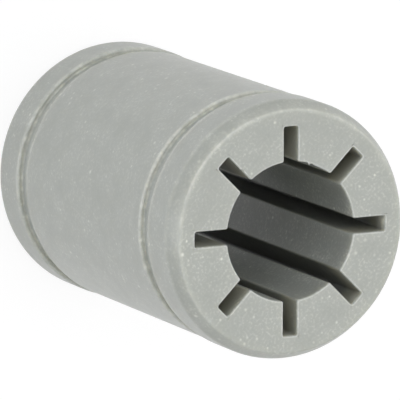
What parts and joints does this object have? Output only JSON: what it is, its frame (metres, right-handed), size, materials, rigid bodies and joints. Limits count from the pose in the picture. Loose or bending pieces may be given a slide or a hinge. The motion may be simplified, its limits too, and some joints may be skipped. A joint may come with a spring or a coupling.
{
  "type": "polymer linear bearing",
  "caption": "Grey moulded polymer sleeve that slides along a round shaft, with a slotted bore, tapered lead-in ends and retaining-ring grooves round the outside.",
  "frame": {"origin": "centre of the lower end face, on the bore axis", "axes": "+Z along the bore axis, from the lower end face to the upper one; X and Y each pass through the middle of a slot"},
  "size_m": [0.015, 0.015, 0.024],
  "materials": {
    "sleeve_polymer": "moulded grey filled polymer, dull, with fine pale flecks"
  },
  "bodies": {
    "root": {"bearing_sleeve": "sleeve_polymer"}
  },
  "joints": []
}
